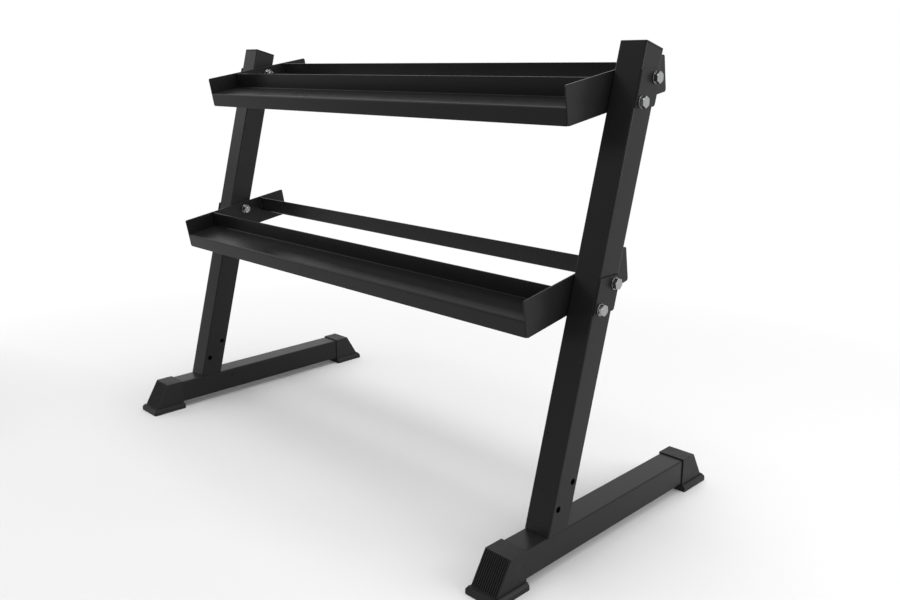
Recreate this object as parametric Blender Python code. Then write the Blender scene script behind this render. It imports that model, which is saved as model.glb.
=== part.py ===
"""Two-tier dumbbell rack: two leaning uprights on floor tubes, two bolted-on sloping shelves.

Run with: blender --background --python part.py
Metres, +Z up.  +X is the right-hand end, -Y is the front (the low side of the shelves).
The origin is on the floor under the middle of the rack.
"""
import math

import bmesh
import bpy
from mathutils import Matrix, Vector

# ---- Tubes -----------------------------------------------------------------------------------
TUBE = 0.050                 # square tube, outside
TUBE_WALL = 0.002
TUBE_CORNER = 0.003          # outside corner radius
OUTER_X = 0.562              # outer faces of the uprights and floor tubes
FOOT_LIFT = 0.0137           # underside of the floor tubes above the floor
FOOT_TOP = FOOT_LIFT + TUBE
UPRIGHT_FRONT_Y = -0.1772    # front face of the uprights where they meet the floor tubes
UPRIGHT_LENGTH = 0.793       # along the front face
LEAN = math.radians(15.0)    # top of the uprights towards the back

# ---- Moulded feet ----------------------------------------------------------------------------
CAP_WALL = 0.0022            # how far the foot stands proud of the tube
CAP_STEP_Y = 0.2310          # where the sleeve starts on the tube
CAP_TOP_END_Y = 0.2685       # where the level top turns into the slope
CAP_SLOPE_END_Y = 0.3003     # foot of the slope
CAP_TREAD = 0.0063           # how far the base stands out beyond the sleeve
CAP_BASE = 0.0132            # height of the base, its chamfer included
CAP_CORNER = 0.0035          # plan radius of the base corners
SOCKET_END_Y = 0.2600        # bottom of the socket that the tube sits in
GROOVES = 12
GROOVE_PITCH = 0.00416
GROOVE_WIDTH = 0.0021
GROOVE_DEPTH = 0.0012
GROOVE_MARGIN = 0.002        # between the grooves and either end of the slope

# ---- Shelves ---------------------------------------------------------------------------------
SHELF_SLOPE = math.radians(10.0)
SHELF_PITCH = 0.3280         # from shelf to shelf, along the uprights
SHELF_AHEAD = 0.0012         # middle of the side plates in front of the middle of their bolts
SHELF_ABOVE = 0.0010         # and above it
PLATE_LENGTH = 0.272
PLATE_HEIGHT = 0.062
PLATE_THICK = 0.003
PLATE_FRONT_TOP = 0.003      # corner radii of the side plates
PLATE_FRONT_LOW = 0.003
PLATE_REAR_TOP = 0.004
PLATE_REAR_LOW = 0.005
SHEET = 0.0025               # bent sheet of the rails
BEND = 0.0040                # outside bend radius
WALL_DROP = 0.0015           # top of the rail walls below the top of the side plates
FLOOR_DROP = 0.0330          # rail floors below the top of the side plates
FRONT_WALL_U = 0.0713        # front face of the front rail's wall, from the front of the plates
REAR_WALL_U = 0.2035         # front face of the rear rail's wall

# ---- Clamp plates and fasteners --------------------------------------------------------------
CLAMP_THICK = 0.003
CLAMP_WIDTH = 0.052
CLAMP_HEIGHT = 0.060
CLAMP_SHIFT = 0.0025         # up the upright from the middle of the bolt pair
CLAMP_CORNER = 0.002
CLAMP_LOW_CORNER = 0.006     # rear bottom corner
CLAMP_HIGH_CORNER = 0.004    # rear top corner
HOLE_LOW_S = 0.0472          # lower spare hole, along the upright
HOLE_SPAN_S = 0.0447         # between the two holes of a pair, along the upright
HOLE_SPAN_T = 0.0252         # and across it
HOLE = 0.011
BOLT = 0.010
BOLT_LENGTH = 0.072          # under the head
HEAD_FLATS = 0.017
HEAD_HEIGHT = 0.0064
NUT_HEIGHT = 0.008
NUT_BORE = 0.0106
WASHER = 0.020
WASHER_THICK = 0.002
HEAD_TURNS = (6, 14, 0, 2)   # degrees each bolt head is turned, lower shelf first

# ---- Plugs in the tops of the uprights -------------------------------------------------------
PLUG_RIM = 0.003
PLUG_DEPTH = 0.014

GAP = 0.0003                 # between neighbouring pieces
WELD = 0.00001               # points closer than this are one
ARC_STEPS = 4
ROUND_SIDES = 16
SMOOTH_ANGLE = math.radians(25)   # flatter edges than this are shaded round

SIDES = (("left", -1), ("right", 1))
ENDS = (("front", -1), ("rear", 1))
TIERS = (("lower", 1), ("upper", 2))

# Turns local X, Y, Z into world Y, Z, X: outlines drawn in XY then lie in a vertical plane.
UPENDED = Matrix(((0, 0, 1), (1, 0, 0), (0, 1, 0)))


def clear_scene():
    for obj in list(bpy.data.objects):
        bpy.data.objects.remove(obj, do_unlink=True)


def new_collection(name):
    collection = bpy.data.collections.new(name)
    bpy.context.scene.collection.children.link(collection)
    return collection


def material(name, colour, roughness, metallic):
    mat = bpy.data.materials.new(name)
    mat.use_nodes = True
    shader = mat.node_tree.nodes["Principled BSDF"]
    shader.inputs["Base Color"].default_value = (*colour, 1.0)
    shader.inputs["Roughness"].default_value = roughness
    shader.inputs["Metallic"].default_value = metallic
    mat.diffuse_color = (*colour, 1.0)
    return mat


# ---- Shapes ----------------------------------------------------------------------------------
def rounded(corners):
    """Outline points from (x, y, radius) corners; a radius of 0 keeps the corner sharp."""
    points = []
    for index, (x, y, radius) in enumerate(corners):
        corner = Vector((x, y))
        if radius == 0:
            points.append(corner)
            continue
        before = (Vector(corners[index - 1][:2]) - corner).normalized()
        after = (Vector(corners[(index + 1) % len(corners)][:2]) - corner).normalized()
        half_angle = before.angle(after) / 2
        centre = corner + (before + after).normalized() * radius / math.sin(half_angle)
        start = corner + before * radius / math.tan(half_angle) - centre
        end = corner + after * radius / math.tan(half_angle) - centre
        sweep = start.angle_signed(end)
        for step in range(ARC_STEPS + 1):
            points.append(centre + Matrix.Rotation(-sweep * step / ARC_STEPS, 2) @ start)
    return points


def rectangle(width, height, radius):
    x, y = width / 2, height / 2
    return rounded([(-x, -y, radius), (x, -y, radius), (x, y, radius), (-x, y, radius)])


def plate_mesh(name, loops, thickness):
    """Closed mesh of a flat outline, and its holes, in XY; the thickness is centred on Z."""
    curve = bpy.data.curves.new(name, "CURVE")
    curve.dimensions = "2D"
    curve.fill_mode = "BOTH"
    curve.extrude = thickness / 2
    for loop in loops:
        spline = curve.splines.new("POLY")
        spline.points.add(len(loop) - 1)
        for point, (x, y) in zip(spline.points, loop):
            point.co = (x, y, 0, 1)
        spline.use_cyclic_u = True
    carrier = bpy.data.objects.new(name, curve)
    bpy.context.scene.collection.objects.link(carrier)
    mesh = evaluated_mesh(carrier, name)
    bpy.data.objects.remove(carrier, do_unlink=True)
    bpy.data.curves.remove(curve)
    return mesh


def evaluated_mesh(obj, name):
    """What the viewport shows for an object, as one welded mesh."""
    bpy.context.view_layer.update()
    seen = obj.evaluated_get(bpy.context.evaluated_depsgraph_get())
    mesh = bpy.data.meshes.new_from_object(seen)
    mesh.name = name
    shape = bmesh.new()
    shape.from_mesh(mesh)
    bmesh.ops.remove_doubles(shape, verts=shape.verts, dist=WELD)
    shape.to_mesh(mesh)
    shape.free()
    return mesh


def box_mesh(name, low, high):
    shape = bmesh.new()
    bmesh.ops.create_cube(shape, size=1.0)
    low, high = Vector(low), Vector(high)
    bmesh.ops.scale(shape, vec=high - low, verts=shape.verts)
    bmesh.ops.translate(shape, vec=(low + high) / 2, verts=shape.verts)
    mesh = bpy.data.meshes.new(name)
    shape.to_mesh(mesh)
    shape.free()
    return mesh


def prism_mesh(name, sides, radius, low, high):
    """Prism about Z between two heights; with many sides it is a cylinder."""
    shape = bmesh.new()
    bmesh.ops.create_cone(shape, cap_ends=True, segments=sides, radius1=radius, radius2=radius,
                          depth=high - low)
    bmesh.ops.translate(shape, vec=(0, 0, (low + high) / 2), verts=shape.verts)
    mesh = bpy.data.meshes.new(name)
    shape.to_mesh(mesh)
    shape.free()
    return mesh


def combined_mesh(name, first, steps):
    """One mesh from Boolean steps, each (operation, mesh), starting from the first mesh."""
    scene = bpy.context.scene.collection
    base = bpy.data.objects.new(name, first)
    scene.objects.link(base)
    helpers = []
    for operation, mesh in steps:
        helper = bpy.data.objects.new(name + "_helper", mesh)
        scene.objects.link(helper)
        helpers.append(helper)
        boolean_modifier(base, helper, operation)
    mesh = evaluated_mesh(base, name)
    for obj in [base] + helpers:
        bpy.data.objects.remove(obj, do_unlink=True)
    return mesh


def boolean_modifier(obj, cutter, operation):
    modifier = obj.modifiers.new(cutter.name, "BOOLEAN")
    modifier.operation = operation
    modifier.solver = "EXACT"
    modifier.object = cutter


# ---- Placing ---------------------------------------------------------------------------------
def place(name, mesh, mat, location, rotation=None):
    """A named part from a mesh; rotation is a 3 by 3 matrix."""
    if not mesh.materials:
        mesh.materials.append(mat)
    obj = bpy.data.objects.new(name, mesh)
    obj.location = location
    if rotation is not None:
        obj.rotation_euler = rotation.to_euler()
    parts.objects.link(obj)
    return obj


def place_cutter(name, mesh, location=(0, 0, 0), rotation=None):
    obj = bpy.data.objects.new(name, mesh)
    obj.location = location
    if rotation is not None:
        obj.rotation_euler = rotation.to_euler()
    obj.hide_render = True
    obj.display_type = "WIRE"
    cutters.objects.link(obj)
    return obj


def on_upright(x, s, t):
    """World point at x, s along the uprights from the floor tubes and t back from their front."""
    y = UPRIGHT_FRONT_Y + s * math.sin(LEAN) + t * math.cos(LEAN)
    z = FOOT_TOP + s * math.cos(LEAN) - t * math.sin(LEAN)
    return Vector((x, y, z))


def pair_middle(tier):
    """s and t of the middle of a pair of holes; tier 0 is the spare pair."""
    return HOLE_LOW_S + HOLE_SPAN_S / 2 + tier * SHELF_PITCH, TUBE / 2


def hole_places(tier):
    s, t = pair_middle(tier)
    return [(s - HOLE_SPAN_S / 2, t - HOLE_SPAN_T / 2), (s + HOLE_SPAN_S / 2, t + HOLE_SPAN_T / 2)]


def tilted(angle):
    """Upended and then turned about X, the back end going up by the angle."""
    return Matrix.Rotation(angle, 3, "X") @ UPENDED


# ---- Parts -----------------------------------------------------------------------------------
def make_cutters():
    """Bolt holes through both ends of the rack at once, and everything below the tube tops."""
    holes = bmesh.new()
    for tier in range(3):
        for s, t in hole_places(tier):
            turn = Matrix.Translation(on_upright(0, s, t)) @ tilted(-LEAN).to_4x4()
            bmesh.ops.create_cone(holes, cap_ends=True, segments=ROUND_SIDES, radius1=HOLE / 2,
                                  radius2=HOLE / 2, depth=3 * OUTER_X, matrix=turn)
    mesh = bpy.data.meshes.new("bolt_hole_cutter")
    holes.to_mesh(mesh)
    holes.free()
    reach = 2 * TUBE
    floor = FOOT_TOP + GAP
    below = box_mesh("foot_top_cutter", (-2 * OUTER_X, UPRIGHT_FRONT_Y - reach, floor - reach),
                     (2 * OUTER_X, UPRIGHT_FRONT_Y + reach, floor))
    return place_cutter("bolt_hole_cutter", mesh), place_cutter("foot_top_cutter", below)


def tube_mesh(name, length):
    bore = TUBE - 2 * TUBE_WALL
    loops = [rectangle(TUBE, TUBE, TUBE_CORNER), rectangle(bore, bore, TUBE_CORNER - TUBE_WALL)]
    return plate_mesh(name, loops, length)


def make_tubes(coat, holes, below):
    """Floor tubes lie along Y; uprights start below the floor tubes' tops and are cut off level."""
    centre_x = OUTER_X - TUBE / 2
    flat = Matrix.Rotation(math.radians(-90), 3, "X")
    leaning = Matrix.Rotation(-LEAN, 3, "X")
    foot = tube_mesh("foot_tube", 2 * (SOCKET_END_Y - GAP))
    run_out = TUBE * math.tan(LEAN)
    upright = tube_mesh("upright", UPRIGHT_LENGTH + run_out)
    middle = (UPRIGHT_LENGTH - run_out) / 2
    for side, sign in SIDES:
        place("foot_tube_" + side, foot, coat, (sign * centre_x, 0, FOOT_LIFT + TUBE / 2), flat)
        post = place("upright_" + side, upright, coat,
                     on_upright(sign * centre_x, middle, TUBE / 2), leaning)
        boolean_modifier(post, below, "DIFFERENCE")
        boolean_modifier(post, holes, "DIFFERENCE")


def cap_base_mesh():
    """Base of a rear foot: rounded corners at the outer end, chamfered top on three sides."""
    half = TUBE / 2 + CAP_WALL + CAP_TREAD
    end = CAP_SLOPE_END_Y + CAP_TREAD + CAP_WALL
    outline = rounded([(-half, CAP_STEP_Y, 0), (half, CAP_STEP_Y, 0), (half, end, CAP_CORNER),
                       (-half, end, CAP_CORNER)])
    mesh = plate_mesh("cap_base", [outline], CAP_BASE)
    shape = bmesh.new()
    shape.from_mesh(mesh)
    bmesh.ops.translate(shape, vec=(0, 0, CAP_BASE / 2), verts=shape.verts)
    bmesh.ops.dissolve_limit(shape, angle_limit=0.01, verts=shape.verts, edges=shape.edges)
    rim = [edge for edge in shape.edges
           if all(vert.co.z > CAP_BASE * 0.99 for vert in edge.verts)
           and any(vert.co.y > CAP_STEP_Y + GAP for vert in edge.verts)]
    bmesh.ops.bevel(shape, geom=rim, offset=CAP_TREAD, segments=1, affect="EDGES", profile=0.5)
    shape.to_mesh(mesh)
    shape.free()
    return mesh


def cap_sleeve_mesh():
    """Sleeve of a rear foot: level top, then a slope down to the base."""
    top = FOOT_TOP + CAP_WALL
    outline = [Vector(point) for point in ((CAP_STEP_Y, CAP_BASE / 2), (CAP_SLOPE_END_Y, CAP_BASE / 2),
                                           (CAP_SLOPE_END_Y, CAP_BASE), (CAP_TOP_END_Y, top),
                                           (CAP_STEP_Y, top))]
    mesh = plate_mesh("cap_sleeve", [outline], TUBE + 2 * CAP_WALL)
    mesh.transform(UPENDED.to_4x4())
    return mesh


def cap_groove_mesh():
    """Bars along the slope of a rear foot, side by side across it."""
    top = Vector((0, CAP_TOP_END_Y, FOOT_TOP + CAP_WALL))
    bottom = Vector((0, CAP_SLOPE_END_Y, CAP_BASE))
    slope = top - bottom
    tilt = Matrix.Rotation(math.atan2(slope.z, slope.y), 4, "X")
    length = slope.length - 2 * GROOVE_MARGIN
    shape = bmesh.new()
    for index in range(GROOVES):
        x = (index - (GROOVES - 1) / 2) * GROOVE_PITCH
        size = Matrix.Diagonal((GROOVE_WIDTH, length, 2 * GROOVE_DEPTH, 1))
        centre = Matrix.Translation((top + bottom) / 2 + Vector((x, 0, 0)))
        bmesh.ops.create_cube(shape, size=1.0, matrix=centre @ tilt @ size)
    mesh = bpy.data.meshes.new("cap_grooves")
    shape.to_mesh(mesh)
    shape.free()
    return mesh


def make_feet(rubber):
    half = TUBE / 2 + GAP
    socket = box_mesh("cap_socket", (-half, CAP_STEP_Y - TUBE, FOOT_LIFT - GAP),
                      (half, SOCKET_END_Y, FOOT_TOP + GAP))
    steps = [("UNION", cap_sleeve_mesh()), ("DIFFERENCE", socket), ("DIFFERENCE", cap_groove_mesh())]
    cap = combined_mesh("foot_cap", cap_base_mesh(), steps)
    for side, side_sign in SIDES:
        for end, end_sign in ENDS:
            turn = Matrix.Rotation(0 if end_sign > 0 else math.pi, 3, "Z")
            place("foot_cap_%s_%s" % (end, side), cap, rubber,
                  (side_sign * (OUTER_X - TUBE / 2), 0, 0), turn)


def make_plugs(plastic):
    """Plug of an upright: a rim as wide as the tube, over a body that fits inside it."""
    rim = plate_mesh("plug_rim", [rectangle(TUBE, TUBE, TUBE_CORNER)], PLUG_RIM)
    inside = TUBE - 2 * TUBE_WALL - 2 * GAP
    body = box_mesh("plug_body", (-inside / 2, -inside / 2, -PLUG_DEPTH), (inside / 2, inside / 2, 0))
    plug = combined_mesh("upright_plug", rim, [("UNION", body)])
    leaning = Matrix.Rotation(-LEAN, 3, "X")
    for side, sign in SIDES:
        centre = on_upright(sign * (OUTER_X - TUBE / 2), UPRIGHT_LENGTH + GAP + PLUG_RIM / 2, TUBE / 2)
        place("upright_plug_" + side, plug, plastic, centre, leaning)


def shelf_middle(x, tier):
    """World point, at x, of the middle of a shelf's side plates."""
    back = Vector((0, math.cos(SHELF_SLOPE), math.sin(SHELF_SLOPE)))
    up = Vector((0, -math.sin(SHELF_SLOPE), math.cos(SHELF_SLOPE)))
    return on_upright(x, *pair_middle(tier)) - SHELF_AHEAD * back + SHELF_ABOVE * up


def rail_mesh(name, wall, apron):
    """Z-shaped rail in the side plates' plane: wall up, floor outwards, apron down at its edge.

    wall is the front face of the wall and apron the outer face of the apron, both from the
    plates' front edge; the apron may lie on either side of the wall.
    """
    out = 1 if apron > wall else -1
    near = wall + SHEET if out > 0 else wall
    far = wall if out > 0 else wall + SHEET
    up = PLATE_HEIGHT / 2
    mid = PLATE_LENGTH / 2
    inner = BEND - SHEET
    back = apron - out * SHEET
    under = FLOOR_DROP + SHEET
    corners = [(far, WALL_DROP, 0), (near, WALL_DROP, 0), (near, FLOOR_DROP, inner),
               (apron, FLOOR_DROP, BEND), (apron, PLATE_HEIGHT, 0), (back, PLATE_HEIGHT, 0),
               (back, under, inner), (far, under, BEND)]
    outline = rounded([(u - mid, up - drop, radius) for u, drop, radius in corners])
    inner_x = OUTER_X - TUBE - GAP - PLATE_THICK - GAP
    return plate_mesh(name, [outline], 2 * inner_x)


def make_shelves(coat, holes):
    plate_x = OUTER_X - TUBE - GAP - PLATE_THICK / 2
    x, y = PLATE_LENGTH / 2, PLATE_HEIGHT / 2
    outline = rounded([(-x, -y, PLATE_FRONT_LOW), (x, -y, PLATE_REAR_LOW),
                       (x, y, PLATE_REAR_TOP), (-x, y, PLATE_FRONT_TOP)])
    plate = plate_mesh("side_plate", [outline], PLATE_THICK)
    front = rail_mesh("front_rail", FRONT_WALL_U, 0)
    rear = rail_mesh("rear_rail", REAR_WALL_U, PLATE_LENGTH)
    for name, tier in TIERS:
        for side, sign in SIDES:
            cheek = place("%s_side_plate_%s" % (name, side), plate, coat,
                          shelf_middle(sign * plate_x, tier), tilted(SHELF_SLOPE))
            boolean_modifier(cheek, holes, "DIFFERENCE")
        place(name + "_front_rail", front, coat, shelf_middle(0, tier), tilted(SHELF_SLOPE))
        place(name + "_rear_rail", rear, coat, shelf_middle(0, tier), tilted(SHELF_SLOPE))


def make_clamps(coat, holes):
    """Clamp plates on the outer faces of the uprights, with level ends."""
    skew = CLAMP_WIDTH / 2 * math.tan(LEAN)
    x, y = CLAMP_WIDTH / 2, CLAMP_HEIGHT / 2
    outline = rounded([(-x, -y - skew, CLAMP_CORNER), (x, -y + skew, CLAMP_LOW_CORNER),
                       (x, y + skew, CLAMP_HIGH_CORNER), (-x, y - skew, CLAMP_CORNER)])
    clamp = plate_mesh("clamp_plate", [outline], CLAMP_THICK)
    clamp_x = OUTER_X + GAP + CLAMP_THICK / 2
    for name, tier in TIERS:
        s, t = pair_middle(tier)
        for side, sign in SIDES:
            jaw = place("%s_clamp_plate_%s" % (name, side), clamp, coat,
                        on_upright(sign * clamp_x, s + CLAMP_SHIFT, t), tilted(-LEAN))
            boolean_modifier(jaw, holes, "DIFFERENCE")


def fastener_meshes():
    hex_radius = HEAD_FLATS / math.sqrt(3)
    shank = prism_mesh("shank", ROUND_SIDES, BOLT / 2, -BOLT_LENGTH, HEAD_HEIGHT / 2)
    bolt = combined_mesh("bolt", prism_mesh("head", 6, hex_radius, 0, HEAD_HEIGHT), [("UNION", shank)])
    bore = prism_mesh("bore", ROUND_SIDES, NUT_BORE / 2, -NUT_HEIGHT, 2 * NUT_HEIGHT)
    nut = combined_mesh("nut", prism_mesh("nut_blank", 6, hex_radius, 0, NUT_HEIGHT),
                        [("DIFFERENCE", bore)])
    disc = prism_mesh("washer_blank", ROUND_SIDES, WASHER / 2, 0, WASHER_THICK)
    bore = prism_mesh("washer_bore", ROUND_SIDES, NUT_BORE / 2, -NUT_HEIGHT, 2 * NUT_HEIGHT)
    washer = combined_mesh("washer", disc, [("DIFFERENCE", bore)])
    return bolt, nut, washer


def make_fasteners(zinc):
    """Bolt from the outside, then outwards in: washer, clamp, upright, plate, washer, nut."""
    bolt, nut, washer = fastener_meshes()
    outer_washer_x = OUTER_X + GAP + CLAMP_THICK + GAP
    head_x = outer_washer_x + WASHER_THICK + GAP
    inner_washer_x = OUTER_X - TUBE - GAP - PLATE_THICK - GAP - WASHER_THICK
    nut_x = inner_washer_x - GAP - NUT_HEIGHT
    turns = iter(HEAD_TURNS * len(SIDES))
    for side, sign in SIDES:
        outward = Matrix.Rotation(0 if sign > 0 else math.pi, 3, "Z")
        for name, tier in TIERS:
            for level, (s, t) in zip(("low", "high"), hole_places(tier)):
                tag = "%s_%s_%s" % (name, level, side)
                turned = Matrix.Rotation(math.radians(next(turns)), 3, "Z")
                axis = outward @ UPENDED @ turned
                place("bolt_" + tag, bolt, zinc, on_upright(sign * head_x, s, t), axis)
                place("nut_" + tag, nut, zinc, on_upright(sign * nut_x, s, t), axis)
                place("outer_washer_" + tag, washer, zinc,
                      on_upright(sign * outer_washer_x, s, t), axis)
                place("inner_washer_" + tag, washer, zinc,
                      on_upright(sign * inner_washer_x, s, t), axis)


def shade_round_parts():
    for obj in parts.objects:
        obj.data.shade_smooth()
        obj.data.set_sharp_from_angle(angle=SMOOTH_ANGLE)


clear_scene()
parts = new_collection("dumbbell_rack")
cutters = new_collection("cutters")
powder_coat = material("powder_coat", (0.018, 0.018, 0.018), 0.42, 0.0)
foot_rubber = material("foot_rubber", (0.022, 0.022, 0.022), 0.60, 0.0)
plug_plastic = material("plug_plastic", (0.020, 0.020, 0.020), 0.50, 0.0)
zinc_plate = material("zinc_plate", (0.60, 0.61, 0.62), 0.28, 1.0)
bolt_holes, foot_tops = make_cutters()
make_tubes(powder_coat, bolt_holes, foot_tops)
make_feet(foot_rubber)
make_plugs(plug_plastic)
make_shelves(powder_coat, bolt_holes)
make_clamps(powder_coat, bolt_holes)
make_fasteners(zinc_plate)
shade_round_parts()
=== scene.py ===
"""Looks of the two-tier dumbbell rack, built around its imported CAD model.

Every CAD node is replaced by a finished piece in the same place: rounded edges, moulded feet,
chamfered and threaded fasteners, weld beads, and procedural finishes.  Metres, +Z up.
"""

import math

import bmesh
import bpy
from mathutils import Matrix, Vector


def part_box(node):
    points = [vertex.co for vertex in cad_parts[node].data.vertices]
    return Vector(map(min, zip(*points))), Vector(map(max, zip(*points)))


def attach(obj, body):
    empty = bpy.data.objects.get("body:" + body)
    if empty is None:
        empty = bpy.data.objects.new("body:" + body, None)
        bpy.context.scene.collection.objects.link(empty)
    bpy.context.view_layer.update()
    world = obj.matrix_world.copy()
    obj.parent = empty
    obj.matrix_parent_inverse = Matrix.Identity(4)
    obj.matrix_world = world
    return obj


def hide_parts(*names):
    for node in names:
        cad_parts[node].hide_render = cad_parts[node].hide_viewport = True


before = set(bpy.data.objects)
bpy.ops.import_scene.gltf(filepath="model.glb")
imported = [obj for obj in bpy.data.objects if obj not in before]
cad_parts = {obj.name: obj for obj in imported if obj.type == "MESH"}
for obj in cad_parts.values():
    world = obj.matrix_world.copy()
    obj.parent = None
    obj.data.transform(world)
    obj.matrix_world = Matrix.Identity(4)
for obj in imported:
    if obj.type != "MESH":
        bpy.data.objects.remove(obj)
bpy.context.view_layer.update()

# ---- Driving sizes, as in the CAD model ------------------------------------------------------
TUBE = 0.050                      # square tube, outside
TUBE_WALL = 0.002
TUBE_CORNER = 0.003
LEAN = math.radians(15.0)         # of the uprights, top towards the back
SHELF_SLOPE = math.radians(10.0)  # of the shelves, back end up
PLATE_LENGTH = 0.272              # side plates
PLATE_HEIGHT = 0.062
PLATE_FRONT_TOP = 0.003           # corner radii of the side plates
PLATE_FRONT_LOW = 0.003
PLATE_REAR_TOP = 0.004
PLATE_REAR_LOW = 0.005
SHELF_AHEAD = 0.0012              # middle of the side plates in front of the middle of their bolts
SHELF_ABOVE = 0.0010              # and above it
SHEET = 0.0025                    # bent sheet of the rails
BEND = 0.0040                     # outside bend radius
WALL_DROP = 0.0015                # rail walls below the top of the side plates
FLOOR_DROP = 0.0330               # rail floors below it
FRONT_WALL_U = 0.0713             # rail walls behind the front of the side plates
REAR_WALL_U = 0.2035
CLAMP_WIDTH = 0.052
CLAMP_HEIGHT = 0.060
CLAMP_SHIFT = 0.0025              # up the upright from the middle of the bolt pair
CLAMP_CORNERS = (0.002, 0.006, 0.004, 0.002)  # front low, rear low, rear top and front top
CAP_WALL = 0.0022                 # foot proud of its tube
CAP_TREAD = 0.0063                # base of the foot beyond its sleeve
CAP_BASE = 0.0132                 # height of the base
CAP_TOP = 0.0375                  # level top of the foot, along its tube
CAP_SLOPE = 0.0318                # run of the slope
CAP_CORNER = 0.0035               # plan radius of the base's corners
GROOVES = 12                      # down the slope of each foot
GROOVE_PITCH = 0.00416
GROOVE_WIDTH = 0.0021
PLUG_RIM = 0.003
PLUG_DEPTH = 0.014                # bottom of the plug's body below the middle of its rim
HOLE = 0.011
BOLT = 0.010
HEAD_FLATS = 0.017
HEAD_HEIGHT = 0.0064
NUT_HEIGHT = 0.008
WASHER = 0.020
WASHER_BORE = 0.0106
GAP = 0.0003                      # between neighbouring pieces
HEAD_TURNS = (6, 14, 0, 2)        # degrees each bolt head is turned, lower shelf first

# ---- Detail beyond the CAD model -------------------------------------------------------------
EDGE = 0.0005                     # rounding of cut steel edges
MOULD_EDGE = 0.0008               # rounding of moulded edges
BENT_EDGE = 0.0001                # rounding of the rails' ends
MITRE_EDGE = 0.0002               # rounding of the uprights' cut ends and holes
WASHER_EDGE = 0.0003
SHARP = 0.00001                   # rounding too small to show
SHEET_STEPS = 2                   # resolution of a flat part's rounded edges
EDGE_STEPS = 3                    # of all other rounded edges
RIM_STEPS = 6                     # of the rounded rim of a foot's base
RIM_PROFILE = 0.36
CREST = 0.0015                    # rounding where a foot's level top meets its slope
CREASE = 0.0011                   # slit between the foot's sleeve and its base
GROOVE_DEPTH = 0.0020             # deeper than in the CAD model
GROOVE_MARGIN = 0.0018            # between the grooves and either end of the slope
PLUG_WALL = 0.003
PLUG_RIB = 0.0006                 # how far the plug's ribs stand proud, and half their height
PLUG_RIB_LEVELS = (-0.0115, -0.008, -0.0045)
HEX_CHAMFER = math.radians(24)
HEX_FACE = 1.04                   # the flat face's radius, in half widths across flats
HEX_CLEAR = 1.05                  # widest part of the chamfer's cone, in half widths across corners
HEX_EDGE = 0.00012
THREAD_PITCH = 0.0015
THREAD_DEPTH = 0.0008
THREAD_LENGTH = 0.0135            # from the tip, the part that shows and a little more
THREAD_TIP = 0.0010               # length of the tip's chamfer
TIP_SLOPE = 0.9                   # how fast it narrows
THREAD_CREST = 0.12               # flat share of the thread's outside
THREAD_STEPS = 8                  # rings in one pitch
SHANK_RELIEF = 0.1                # plain shank inside the thread's outside, in thread depths
NUT_PLAY = 0.0002                 # nut's bore around the bolt
NUT_MOUTH = 0.0007                # countersink at both ends of the nut
BORE_REACH = 0.001                # of the bore cutter past either face of the nut
BEAD = 0.0022                     # radius of the weld beads
THIN_BEAD = 0.8                   # share of it at the shelves
BEAD_STEP = 0.0016                # from ripple to ripple
BEAD_LEAST = 4                    # ripples in the shortest bead
BEAD_RIPPLE = 0.12                # share of the radius
BEAD_RINGS = 4                    # in one ripple
BEAD_SIDES = 12
BEAD_TIP = 0.02                   # square of the bead's smallest radius, as a share, at its ends
BEAD_CLEARANCES = (0.012, 0.010, 0.008, 0.006)  # from the apron, wall, floor and wall's top
ARC_STEPS = 8
ROUND_SIDES = 48
SHANK_SIDES = 32
SMOOTH_ANGLE = math.radians(38)   # flatter edges than this are shaded round
EDGE_ANGLE = math.radians(32)     # edges sharper than this are rounded
FLAT_ANGLE = math.radians(0.2)    # faces closer than this become one face before the rounding
MERGE_ANGLE = 0.002               # and in every mesh that is worked out, in radians
WELD = 0.000005                   # points closer than this become one point
TOUCH = 0.0001                    # how near a point counts as lying on a plane

# ---- Camera ----------------------------------------------------------------------------------
CAMERA_PLACE = (1.3390, -1.1747, 0.7923)
CAMERA_TURN = (math.radians(75.11), 0, math.radians(45.03))
CAMERA_LENS = 35.08
CAMERA_SENSOR = 36.0

# ---- Colours, linear RGB and alpha, and ranges of roughness -----------------------------------
COAT = (0.0105, 0.0105, 0.0107, 1)
COAT_PATCH = (0.0120, 0.0120, 0.0122, 1)
# lighter colour of the edges: partly wear, partly a painted highlight
COAT_WORN_EDGE_AND_HIGHLIGHT = (0.0150, 0.0150, 0.0152, 1)
COAT_ROUGHNESS = (0.27, 0.32)
RUBBER = (0.0060, 0.0060, 0.0061, 1)
RUBBER_BLOOM = (0.0095, 0.0095, 0.0093, 1)
RUBBER_ROUGHNESS = (0.44, 0.56)
PLASTIC = (0.0070, 0.0070, 0.0072, 1)
PLASTIC_PATCH = (0.0100, 0.0100, 0.0101, 1)
PLASTIC_ROUGHNESS = (0.40, 0.50)
ZINC = (0.38, 0.38, 0.385, 1)
ZINC_CLOUD = (0.28, 0.285, 0.29, 1)
# lighter colour of the edges: partly rubbed bright, partly a painted highlight
ZINC_RUBBED_EDGE_AND_HIGHLIGHT = (0.60, 0.60, 0.60, 1)
ZINC_ROUGHNESS = (0.19, 0.27)
NOISE_SPAN = (0.3, 0.7)           # where most of a noise's values lie
EDGE_BREAKS = (0.40, 0.72)        # noise values between which an edge shows more and more
BEVEL_SAMPLES = 6

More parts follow.
